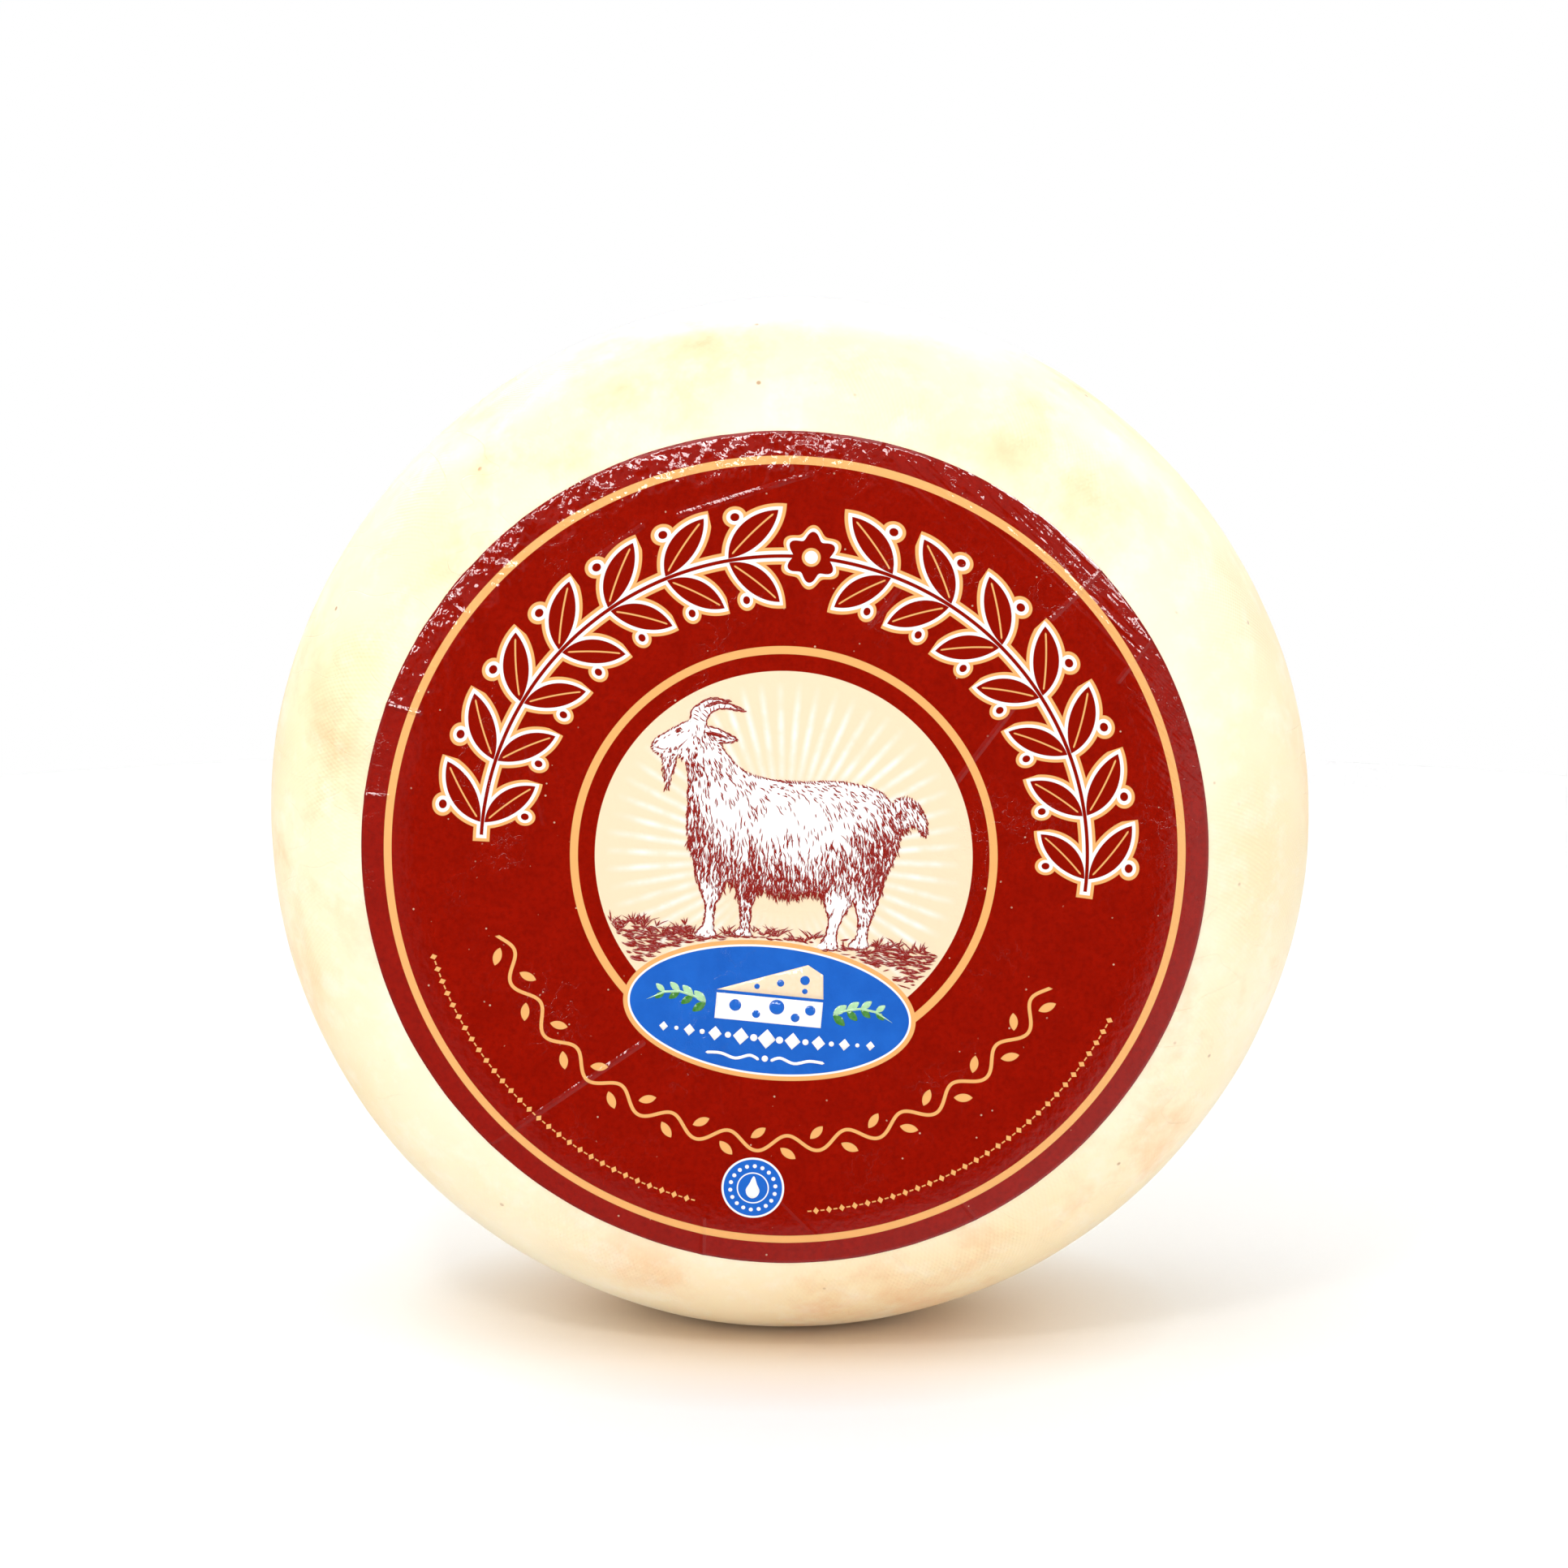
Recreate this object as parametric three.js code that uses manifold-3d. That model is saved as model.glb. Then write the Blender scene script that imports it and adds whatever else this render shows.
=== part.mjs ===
// A wheel of semi-hard cheese standing on its rim, with a round printed paper label on one face.
// Millimetres, +Z up. The wheel's axis lies along Y, and the label faces -Y.
// The origin is on the surface the wheel stands on, under the middle of its bounding box.
import * as THREE from 'three';
import { mergeVertices } from 'three/addons/utils/BufferGeometryUtils.js';
import Module from 'manifold-3d';

const manifold = await Module();
manifold.setup();

// Cheese wheel
const wheelRadius = 135; // to the widest line of the rim
const frontDepth = 57; // from the middle of the labelled face to the plane of the widest line
const backDepth = 49; // less than in front, because the wheel ripened lying on its back
const faceRadius = 84; // where a face begins to turn over into the rim
const faceCrown = 0.8; // how much a face has fallen away by the wheel's edge
const rimFullness = 2.35; // 2 gives a round rim, and more gives a squarer one
const settledDepth = 2; // how far the rim has flattened under the wheel's own weight

// Label
const labelRadius = 105.5; // measured straight across, as it lies over the shoulder
const labelThickness = 0.35;
const labelGap = 0.3; // between the rind and the back of the label

// Fineness of the meshes
const turnSegments = 80;
const faceSteps = 4;
const rimSteps = 13;
const labelSteps = 12;

const rindColour = 0xf6e6bd;
const labelColour = 0x9d190f;

// Height of a face above the plane of the widest line, at a distance from the axis.
function faceHeight(depth, radius) {
  const crowned = depth - faceCrown * (radius / wheelRadius) ** 2;
  const turned = Math.max(0, radius - faceRadius) / (wheelRadius - faceRadius);
  return crowned * Math.max(0, 1 - turned ** rimFullness) ** (1 / rimFullness);
}

// Distances from the axis at which a face and its half of the rim are sampled, from the middle outwards.
function wheelRadii() {
  const radii = [];
  for (let step = 0; step < faceSteps; step += 1) {
    radii.push((faceRadius * step) / faceSteps);
  }
  for (let step = 0; step <= rimSteps; step += 1) {
    const angle = (Math.PI / 2) * (step / rimSteps);
    const reach = Math.sin(angle) ** (2 / rimFullness);
    radii.push(faceRadius + (wheelRadius - faceRadius) * reach);
  }
  return radii;
}

function toSolid(geometry) {
  const bare = geometry.clone();
  bare.deleteAttribute('normal');
  bare.deleteAttribute('uv');
  const merged = mergeVertices(bare, 1e-4);
  const index = merged.index.array;
  const triangles = [];
  for (let corner = 0; corner < index.length; corner += 3) {
    const [a, b, c] = index.slice(corner, corner + 3);
    if (a !== b && b !== c && c !== a) {
      triangles.push(a, b, c);
    }
  }
  return new manifold.Manifold(
    new manifold.Mesh({
      numProp: 3,
      vertProperties: new Float32Array(merged.attributes.position.array),
      triVerts: new Uint32Array(triangles),
    }),
  );
}

function toGeometry(solid) {
  const mesh = solid.getMesh();
  const geometry = new THREE.BufferGeometry();
  geometry.setAttribute('position', new THREE.BufferAttribute(mesh.vertProperties, 3));
  geometry.setIndex(new THREE.BufferAttribute(mesh.triVerts, 1));
  geometry.computeVertexNormals();
  return geometry;
}

// The whole cheese: two crowned faces joined by a full rim, flattened where it stands.
function makeWheel() {
  const front = (radius) => new THREE.Vector2(radius, -faceHeight(frontDepth, radius));
  const back = (radius) => new THREE.Vector2(radius, faceHeight(backDepth, radius));
  const radii = wheelRadii();
  const profile = [...radii.map(front), ...radii.slice(0, -1).reverse().map(back)];
  const whole = toSolid(new THREE.LatheGeometry(profile, turnSegments));

  const ground = new THREE.BoxGeometry(2 * wheelRadius, 4 * frontDepth, wheelRadius);
  ground.translate(0, 0, settledDepth - 1.5 * wheelRadius);
  const settled = whole.subtract(toSolid(ground));

  const material = new THREE.MeshStandardMaterial({
    color: rindColour,
    roughness: 0.5,
    metalness: 0,
  });
  const wheel = new THREE.Mesh(toGeometry(settled), material);
  wheel.name = 'cheese_wheel';
  return wheel;
}

// A thin disc that follows the front face and bends back over its shoulder.
function makeLabel() {
  const outer = [];
  const inner = [];
  for (let step = 0; step <= labelSteps; step += 1) {
    const radius = (labelRadius * step) / labelSteps;
    const backHeight = faceHeight(frontDepth, radius) + labelGap;
    outer.push(new THREE.Vector2(radius, -backHeight - labelThickness));
    inner.push(new THREE.Vector2(radius, -backHeight));
  }
  const profile = [...outer, ...inner.reverse()];

  const material = new THREE.MeshStandardMaterial({
    color: labelColour,
    roughness: 0.3,
    metalness: 0,
  });
  const label = new THREE.Mesh(new THREE.LatheGeometry(profile, turnSegments), material);
  label.name = 'label';
  return label;
}

const cheese = new THREE.Group();
cheese.add(makeWheel(), makeLabel());
const middle = (frontDepth + labelGap + labelThickness - backDepth) / 2;
cheese.position.set(0, middle, wheelRadius - settledDepth);

export default cheese;
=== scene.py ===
import math
import random

import bmesh
import bpy
from mathutils import Matrix, Vector, noise


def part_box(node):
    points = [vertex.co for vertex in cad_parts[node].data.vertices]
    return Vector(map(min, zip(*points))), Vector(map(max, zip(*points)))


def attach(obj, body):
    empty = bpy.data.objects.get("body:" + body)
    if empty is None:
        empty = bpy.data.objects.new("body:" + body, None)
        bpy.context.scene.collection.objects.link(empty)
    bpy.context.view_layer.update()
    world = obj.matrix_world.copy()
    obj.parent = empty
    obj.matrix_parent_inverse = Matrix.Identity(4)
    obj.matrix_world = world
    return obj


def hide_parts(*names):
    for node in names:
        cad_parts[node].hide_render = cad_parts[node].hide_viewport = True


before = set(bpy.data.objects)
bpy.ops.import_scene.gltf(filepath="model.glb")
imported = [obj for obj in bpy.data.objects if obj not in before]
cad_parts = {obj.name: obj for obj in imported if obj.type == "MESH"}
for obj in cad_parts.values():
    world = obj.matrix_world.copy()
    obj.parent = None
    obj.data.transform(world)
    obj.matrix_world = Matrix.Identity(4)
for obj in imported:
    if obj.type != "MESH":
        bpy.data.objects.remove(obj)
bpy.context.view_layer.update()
mm = 0.001
print("frame loaded")


# helpers for shader nodes

def colour(text):  # "9e1405" as the linear colour a shader takes
    parts = [int(text[i:i + 2], 16) / 255 for i in (0, 2, 4)]
    return tuple(c / 12.92 if c <= 0.04045 else ((c + 0.055) / 1.055) ** 2.4 for c in parts) + (1,)


def newMaterial(name):
    material = bpy.data.materials.new(name)
    material.use_nodes = True
    tree = material.node_tree
    return material, tree, tree.nodes["Principled BSDF"]


def addNode(tree, kind, **settings):
    made = tree.nodes.new(kind)
    for name, value in settings.items():
        setattr(made, name, value)
    return made


def feed(tree, socket, value):  # a link if value is a socket, and else a plain value
    if isinstance(value, bpy.types.NodeSocket):
        tree.links.new(value, socket)
    elif value is not None:
        socket.default_value = value


def maths(tree, operation, *values):
    made = addNode(tree, "ShaderNodeMath", operation=operation)
    for socket, value in zip(made.inputs, values):
        feed(tree, socket, value)
    return made.outputs[0]


def vectorMaths(tree, operation, *values):
    made = addNode(tree, "ShaderNodeVectorMath", operation=operation)
    for socket, value in zip(made.inputs, values):
        feed(tree, socket, value)
    return made.outputs["Value" if operation in ("LENGTH", "DISTANCE", "DOT_PRODUCT") else "Vector"]


def blend(tree, share, first, second):  # first where share is 0, second where it is 1
    made = addNode(tree, "ShaderNodeMix", data_type="RGBA")
    for socket, value in ((made.inputs[0], share), (made.inputs[6], first), (made.inputs[7], second)):
        feed(tree, socket, value)
    return made.outputs[2]


def ramp(tree, value, low, high, start=0.0, end=1.0):  # clamped and straight between low and high
    made = addNode(tree, "ShaderNodeMapRange")
    for socket, number in zip(made.inputs, (value, low, high, start, end)):
        feed(tree, socket, number)
    return made.outputs[0]


def cloud(tree, place, scale, detail=2.0, roughness=0.5, stretch=None):  # noise round 0.5
    if stretch:
        mapping = addNode(tree, "ShaderNodeMapping")
        feed(tree, mapping.inputs["Vector"], place)
        mapping.inputs["Scale"].default_value = stretch
        place = mapping.outputs[0]
    made = addNode(tree, "ShaderNodeTexNoise")
    feed(tree, made.inputs["Vector"], place)
    feed(tree, made.inputs["Scale"], scale)
    feed(tree, made.inputs["Detail"], detail)
    feed(tree, made.inputs["Roughness"], roughness)
    return made.outputs[0]


def bump(tree, height, distance, strength=1.0, under=None):
    made = addNode(tree, "ShaderNodeBump")
    feed(tree, made.inputs["Strength"], strength)
    feed(tree, made.inputs["Distance"], distance)
    feed(tree, made.inputs["Height"], height)
    if under:
        feed(tree, made.inputs["Normal"], under)
    return made.outputs[0]


def ownPlace(tree):
    return addNode(tree, "ShaderNodeTexCoord").outputs["Object"]


def coordinates(tree, place):
    parts = addNode(tree, "ShaderNodeSeparateXYZ")
    feed(tree, parts.inputs[0], place)
    return parts.outputs[0], parts.outputs[1], parts.outputs[2]


def times(tree, *values):
    total = values[0]
    for value in values[1:]:
        total = maths(tree, "MULTIPLY", total, value)
    return total


def minus(tree, first, second):
    return maths(tree, "SUBTRACT", first, second)


def timesPlus(tree, first, second, third):
    return maths(tree, "MULTIPLY_ADD", first, second, third)


def bare(tree, value):  # without its sign
    return maths(tree, "ABSOLUTE", value)


def spots(tree, place, scale, low, high, share):  # small round ones, share strong in their middles
    made = addNode(tree, "ShaderNodeTexVoronoi")
    feed(tree, made.inputs["Vector"], place)
    made.inputs["Scale"].default_value = scale
    return ramp(tree, made.outputs["Distance"], low, high, share, 0)


# the wheel's own shape, which the label and its inks follow too

wheelLow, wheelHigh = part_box("cheese_wheel")
wheel = {
    "radius": (wheelHigh.x - wheelLow.x) / 2,
    "axisZ": wheelHigh.z - (wheelHigh.x - wheelLow.x) / 2,
    "frontDepth": 57 * mm,  # from the labelled face to the widest line of the rim
    "faceRadius": 84 * mm,  # where a face begins to turn over
    "crown": 0.8 * mm,  # how far a face falls away by the wheel's edge
    "fullness": 2.35,  # 2 is a round rim, more is a squarer one
    "settling": 0.6 * mm,  # how softly the standing spot runs into the rim
    "profileSteps": 84,  # from the middle of a face to the widest line
    "turnSteps": 560,
    # waves of the pressed surface: how long, how high, and where their pattern starts
    "waves": [(95 * mm, 0.75 * mm, 11), (34 * mm, 0.24 * mm, 23), (11 * mm, 0.07 * mm, 37)],
}
wheel["widestY"] = wheelLow.y + wheel["frontDepth"]
wheel["backDepth"] = wheelHigh.y - wheel["widestY"]


def profile(depth, share):  # (distance from the axis, height) from a face's middle, 0, to the rim, 1
    flatShare = 0.36
    if share < flatShare:
        reach = wheel["faceRadius"] * share / flatShare
        height = depth
    else:
        angle = (share - flatShare) / (1 - flatShare) * math.pi / 2
        turned = math.sin(angle) ** (2 / wheel["fullness"])
        reach = wheel["faceRadius"] + (wheel["radius"] - wheel["faceRadius"]) * turned
        height = depth * max(0.0, 1 - turned ** wheel["fullness"]) ** (1 / wheel["fullness"])
    return reach, height * (1 - wheel["crown"] / depth * (reach / wheel["radius"]) ** 2)


def faceHeight(reach):  # of the labelled face in front of the widest line
    turned = max(0.0, reach - wheel["faceRadius"]) / (wheel["radius"] - wheel["faceRadius"])
    height = wheel["frontDepth"] - wheel["crown"] * (reach / wheel["radius"]) ** 2
    return height * max(0.0, 1 - turned ** wheel["fullness"]) ** (1 / wheel["fullness"])


def unevenness(point):
    total = 0.0
    for length, height, start in wheel["waves"]:
        total += height * noise.noise(Vector(point) / length + Vector((start, start * 0.7, start * 1.3)))
    return total


def settle(z):  # presses what would be below the floor flat, softly
    soft = wheel["settling"]
    return z if z > 12 * soft else soft * math.log1p(math.exp(z / soft))


def onFace(reach, turn, lift=0.0):  # a point of the labelled face; turn is clockwise from the top
    step = 0.05 * mm
    slope = (faceHeight(reach + step) - faceHeight(max(0.0, reach - step))) / (step + min(step, reach))
    outward = Vector((-slope, 1)).normalized()
    side = Vector((math.sin(turn), 0, math.cos(turn)))
    middle = Vector((0, wheel["widestY"], wheel["axisZ"]))
    point = middle + side * reach - Vector((0, faceHeight(reach), 0))
    out = side * outward.x - Vector((0, outward.y, 0))
    return point + out * (unevenness(point) + lift)


def spinRound(bm, points, middle, steps):  # a full turn about +Y, one sector first and then its copies
    copies = 16
    verts = [bm.verts.new(p) for p in points]
    edges = [bm.edges.new(pair) for pair in zip(verts, verts[1:])]
    sector = math.tau / copies
    bmesh.ops.spin(bm, geom=verts + edges, cent=middle, axis=(0, 1, 0), angle=sector,
                   steps=round(steps / copies), use_merge=False, use_duplicate=False)
    while sector < math.pi + 0.1:
        copied = bmesh.ops.duplicate(bm, geom=bm.verts[:] + bm.edges[:] + bm.faces[:])["geom"]
        bmesh.ops.rotate(bm, cent=middle, matrix=Matrix.Rotation(sector, 3, "Y"),
                         verts=[part for part in copied if isinstance(part, bmesh.types.BMVert)])
        sector *= 2
    bmesh.ops.remove_doubles(bm, verts=bm.verts, dist=0.001 * mm)
    bmesh.ops.recalc_face_normals(bm, faces=bm.faces)


def makeWheel():
    bm = bmesh.new()
    steps = wheel["profileSteps"]
    middle = Vector((0, wheel["widestY"], wheel["axisZ"]))
    points = []
    for i in range(steps + 1):
        reach, height = profile(wheel["frontDepth"], i / steps)
        points.append(middle + Vector((0, -height, reach)))
    for i in range(steps - 1, -1, -1):
        reach, height = profile(wheel["backDepth"], i / steps)
        points.append(middle + Vector((0, height, reach)))
    spinRound(bm, points, middle, wheel["turnSteps"])
    bm.normal_update()
    moves = [(v, v.normal * unevenness(v.co)) for v in bm.verts]
    for v, move in moves:
        v.co += move
        v.co.z = settle(v.co.z)
    return finishPiece(bm, "cheese_wheel_body", [rindMaterial()])


def finishPiece(bm, name, materials):
    mesh = bpy.data.meshes.new(name)
    bm.to_mesh(mesh)
    bm.free()
    mesh.shade_smooth()
    for material in materials:
        mesh.materials.append(material)
    piece = bpy.data.objects.new(name, mesh)
    bpy.context.scene.collection.objects.link(piece)
    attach(piece, "root")
    return piece


# rind

rind = {
    "cream": colour("fcefd2"),
    "butter": colour("f9e2b6"),  # slightly deeper, in soft clouds
    "peach": colour("efc08f"),  # warm patches
    "bloom": colour("fffbf0"),  # pale rubbed places, and a halo round the label
    "speck": colour("9c6530"),
    "halo": (106 * mm, 113 * mm),  # from the axis
    "haloShare": 0.15,
    "footBand": (-133.5 * mm, -128.5 * mm),  # darker brown towards the very bottom of the rim, from the axis down to where it stands
    "clothTurns": 620,  # threads of the cloth round the rim
    "clothThread": 1.35 * mm,
}


def rindMaterial():
    material, tree, shader = newMaterial("waxed_rind")
    place = ownPlace(tree)
    middle = (0, wheel["widestY"], wheel["axisZ"])
    x, y, z = coordinates(tree, vectorMaths(tree, "SUBTRACT", place, middle))
    turn = maths(tree, "ARCTAN2", x, z)
    reach = maths(tree, "SQRT", timesPlus(tree, x, x, times(tree, z, z)))
    soft = cloud(tree, place, 14, 3)
    mottled = cloud(tree, place, 36, 6, 0.62)
    base = blend(tree, ramp(tree, soft, 0.35, 0.7), rind["cream"], rind["butter"])
    patchy = times(tree, ramp(tree, mottled, 0.5, 0.7, 0, 0.75),
                   ramp(tree, cloud(tree, place, 9, 2), 0.4, 0.62))
    base = blend(tree, patchy, base, rind["peach"])
    rubbed = cloud(tree, place, 95, 4, 0.65)
    base = blend(tree, ramp(tree, rubbed, 0.5, 0.7, 0, 0.28), base, rind["bloom"])
    halo = times(tree, ramp(tree, reach, *rind["halo"], rind["haloShare"], 0), ramp(tree, y, 0, -0.01))
    base = blend(tree, halo, base, rind["bloom"])
    speckShare = times(tree, spots(tree, place, 130, 0.05, 0.1, 0.7),
                       ramp(tree, cloud(tree, place, 60), 0.57, 0.63))
    base = blend(tree, speckShare, base, rind["speck"])
    # darker brown in a narrow band at the very bottom of the rim, where it stands on the floor
    footShare = times(tree, ramp(tree, z, *rind["footBand"], 0.4, 0), ramp(tree, mottled, 0.35, 0.6))
    base = blend(tree, footShare, base, rind["speck"])
    feed(tree, shader.inputs["Base Color"], base)

    feed(tree, shader.inputs["Roughness"], ramp(tree, mottled, 0.3, 0.7, 0.38, 0.6))
    shader.inputs["Specular IOR Level"].default_value = 0.26
    shader.inputs["Subsurface Weight"].default_value = 0.18
    shader.inputs["Subsurface Radius"].default_value = (1.0, 0.6, 0.3)
    shader.inputs["Subsurface Scale"].default_value = 3.5 * mm

    # pores, the faint print of the cloth round the rim, soft dimples and a few scratches
    finish = bump(tree, cloud(tree, place, 900, 3), 0.05 * mm, 0.6)
    warp = times(tree, cloud(tree, place, 60, 2), 9.0)
    threads = maths(tree, "SINE", timesPlus(tree, turn, rind["clothTurns"], warp))
    crossed = maths(tree, "SINE", timesPlus(tree, y, math.tau / rind["clothThread"], warp))
    cloth = times(tree, times(tree, threads, crossed), ramp(tree, cloud(tree, place, 28, 3), 0.42, 0.62),
                 ramp(tree, reach, 0.1, 0.12))
    finish = bump(tree, cloth, 0.09 * mm, 0.8, finish)
    finish = bump(tree, cloud(tree, place, 230, 4, 0.6), 0.13 * mm, 0.7, finish)
    lines = cloud(tree, place, 40, 1, 0.5, (1, 0.35, 2.2))
    scratch = times(tree, ramp(tree, bare(tree, minus(tree, lines, 0.5)), 0, 0.006, 1, 0),
                   ramp(tree, cloud(tree, place, 17, 2), 0.5, 0.6))
    finish = bump(tree, scratch, -0.12 * mm, 0.8, finish)
    feed(tree, shader.inputs["Normal"], finish)
    return material


# label: its artwork is drawn in millimetres from its middle, u to the right and v up

labelLow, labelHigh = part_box("label")
label = {
    "radius": (labelHigh.x - labelLow.x) / 2,
    "turn": math.radians(5.2),  # how far it was stuck on clockwise
    "lift": 0.22 * mm,  # of the paper's face over the rind
    "tuck": -0.3 * mm,  # of its hidden back
    "ringStep": 0.95 * mm,
    "turnSteps": 640,
}
artwork = {
    "outerRing": (97.7, 99.7),
    "innerRing": (51.1, 53.1),
    "medallion": 46.9,
    "rays": 58,
    "oval": (0, -39.1, 36.7, 17.85),  # its middle and its half sizes
    "ovalGold": 1.15,
    "ovalWhite": 0.5,
    "seal": (0, -85.3, 7.9),
    "sealRim": 0.5,
    "sealDots": (18, 5.7, 0.5),  # how many, how far out, and their radius
    "sealRing": (3.75, 4.05),
}
inks = {
    "red": (0.295, 0.0055, 0.0008, 1),
    "deepRed": (0.255, 0.0045, 0.0006, 1),
    "darkRed": (0.195, 0.003, 0.0005, 1),
    "fur": (0.27, 0.008, 0.003, 1),
    "gold": (0.82, 0.42, 0.145, 1),
    "cream": (0.89, 0.705, 0.485, 1),
    "white": (0.93, 0.93, 0.92, 1),
    "blue": (0.017, 0.13, 0.56, 1),
    "deepBlue": (0.014, 0.11, 0.5, 1),
    "leaf": (0.05, 0.22, 0.03, 1),
    "paleLeaf": (0.45, 0.72, 0.42, 1),
}


wrinkles = {
    "swell": (17.0, 0.07),  # how wide and how high the soft waves of the whole paper are, in millimetres
    "pucker": (5.5, 0.075),  # across the edge, where flat paper had to bend two ways
    "crushed": (4.2, 0.34),  # a crumpled stretch of the margin
    "crushedFrom": math.radians(-78),
    "crushedTo": math.radians(12),
    # folds from one point to another, in millimetres from the middle, with their heights
    "folds": [
        ((-66.7, -80.6), (-30.9, -50.6), 0.16), ((41.1, 23.6), (53.5, 44.0), 0.13),
        ((-33.0, 82.6), (-1.9, 95.7), 0.14), ((-104.6, 28.8), (-93.0, 27.4), 0.26),
        ((-105.0, 5.2), (-99.5, 5.6), 0.2), ((-88.6, 56.4), (-82.0, 52.0), 0.18),
        ((-11.2, -104.5), (-11.8, -95.0), 0.18), ((56.5, -88.5), (51.8, -83.0), 0.16),
        ((60.2, 66.0), (72.0, 79.5), 0.18), ((78.0, 52.0), (84.5, 62.0), 0.14),
        ((-14.0, -30.0), (-9.0, -66.0), 0.05), ((-52.0, 70.5), (-42.0, 79.0), 0.13),
        ((16.0, 60.0), (23.0, 71.0), 0.1), ((-60.0, 3.0), (-66.0, 22.0), 0.08),
        ((3.0, -84.0), (20.0, -99.0), 0.08),
    ],
    "foldWidth": 0.95,
    "creaseWidth": 0.8,
    "deepest": -0.13,
    "creaseShare": 22.0,
}


def rising(value, low, high):  # smoothly from 0 at low to 1 at high
    t = min(max((value - low) / (high - low), 0.0), 1.0)
    return t * t * (3 - 2 * t)


def relief(u, v):  # height of the wrinkled paper, in metres, at u, v in millimetres
    reach, turn = math.hypot(u, v), math.atan2(u, v)
    size, height = wrinkles["swell"]
    total = height * noise.noise(Vector((u / size, v / size, 3.1)))
    if reach > 86:
        size, height = wrinkles["pucker"]
        edge = rising(reach, 88, 104)
        total += height * edge * noise.noise(Vector((turn * 100 / size, reach / (3 * size), 5.3)))
        size, height = wrinkles["crushed"]
        stretch = (rising(turn, wrinkles["crushedFrom"], wrinkles["crushedFrom"] + 0.4)
                   * rising(-turn, -wrinkles["crushedTo"], 0.25 - wrinkles["crushedTo"]))
        crumple = 0.45 + noise.noise(Vector((u / size, v / size, 9.2)))
        total += height * rising(reach, 91, 97) * stretch * crumple
    point = Vector((u, v))
    for first, second, height in wrinkles["folds"]:
        along = Vector(second) - Vector(first)
        share = min(max((point - Vector(first)).dot(along) / along.length_squared, 0.0), 1.0)
        away = (point - Vector(first) - along * share).length
        if away < 3 * wrinkles["foldWidth"]:
            total += height * math.exp(-(away / wrinkles["foldWidth"]) ** 2)
    return max(total, wrinkles["deepest"]) * mm


def onLabel(u, v, lift=0.0):  # the point of the paper's face at u, v in millimetres
    reach = min(math.hypot(u, v) * mm, label["radius"])
    return onFace(reach, math.atan2(u, v) + label["turn"], label["lift"] + relief(u, v) + lift)


def makeLabel():
    bm = bmesh.new()
    rings = round(label["radius"] / label["ringStep"])
    points = [Vector((0, 0, label["radius"] * i / rings)) for i in range(rings + 1)]
    spinRound(bm, points, Vector((0, 0, 0)), label["turnSteps"])
    for v in bm.verts:
        v.co = onLabel(v.co.x / mm, v.co.z / mm)
    for reach in (label["radius"], label["radius"] * 0.93, wheel["faceRadius"]):
        edge = [e for e in bm.edges if e.is_boundary]
        grown = bmesh.ops.extrude_edge_only(bm, edges=edge)["geom"]
        for v in (g for g in grown if isinstance(g, bmesh.types.BMVert)):
            turn = math.atan2(v.co.x, v.co.z - wheel["axisZ"])
            v.co = onFace(reach, turn, label["tuck"])
    bmesh.ops.holes_fill(bm, edges=[e for e in bm.edges if e.is_boundary])
    bmesh.ops.recalc_face_normals(bm, faces=bm.faces)
    piece = finishPiece(bm, "paper_label", [labelMaterial()])
    return piece


def labelPlace(tree):  # the piece's own coordinates as u, 0, v in millimetres
    middle = (0, 0, wheel["axisZ"])
    moved = vectorMaths(tree, "SUBTRACT", ownPlace(tree), middle)
    mapping = addNode(tree, "ShaderNodeMapping")
    feed(tree, mapping.inputs["Vector"], moved)
    mapping.inputs["Rotation"].default_value = (0, -label["turn"], 0)
    mapping.inputs["Scale"].default_value = (1 / mm, 1 / mm, 1 / mm)
    flat = vectorMaths(tree, "MULTIPLY", mapping.outputs[0], (1, 0, 1))
    return flat


def across(tree, place):  # u and v
    u, _, v = coordinates(tree, place)
    return u, v


def inside(tree, distance, limit=0.0, soft=0.12):  # 1 where distance is under limit, 0 past it
    return ramp(tree, distance, limit - soft / 2, limit + soft / 2, 1, 0)


def between(tree, value, low, high, soft=0.12):
    return times(tree, inside(tree, value, high, soft),
                ramp(tree, value, low - soft / 2, low + soft / 2))


def firstOf(tree, *distances):  # the union of shapes
    nearest = distances[0]
    for distance in distances[1:]:
        nearest = maths(tree, "MINIMUM", nearest, distance)
    return nearest


def leafDistance(tree, along, out, leaf):  # to a pointed leaf, less than 0 inside; and from its midrib
    baseAlong, baseOut, slant, length, width = leaf
    cosine, sine = math.cos(math.radians(slant)), math.sin(math.radians(slant))
    middleAlong, middleOut = baseAlong + cosine * length / 2, baseOut + sine * length / 2
    a = minus(tree, along, middleAlong)
    b = minus(tree, out, middleOut)
    lengthwise = timesPlus(tree, a, cosine, times(tree, b, sine))
    aside = bare(tree, timesPlus(tree, b, cosine, times(tree, a, -sine)))
    arc = (length ** 2 / 4 + width ** 2 / 4) / width  # radius of the two arcs that make the leaf
    far = timesPlus(tree, lengthwise, lengthwise,
                maths(tree, "POWER", maths(tree, "ADD", aside, arc - width / 2), 2.0))
    return minus(tree, maths(tree, "SQRT", far), arc), aside


def roundDistance(tree, along, out, spot):  # to a round berry
    a = minus(tree, along, spot[0])
    b = minus(tree, out, spot[1])
    far = maths(tree, "SQRT", timesPlus(tree, a, a, times(tree, b, b)))
    return minus(tree, far, spot[2])


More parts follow.
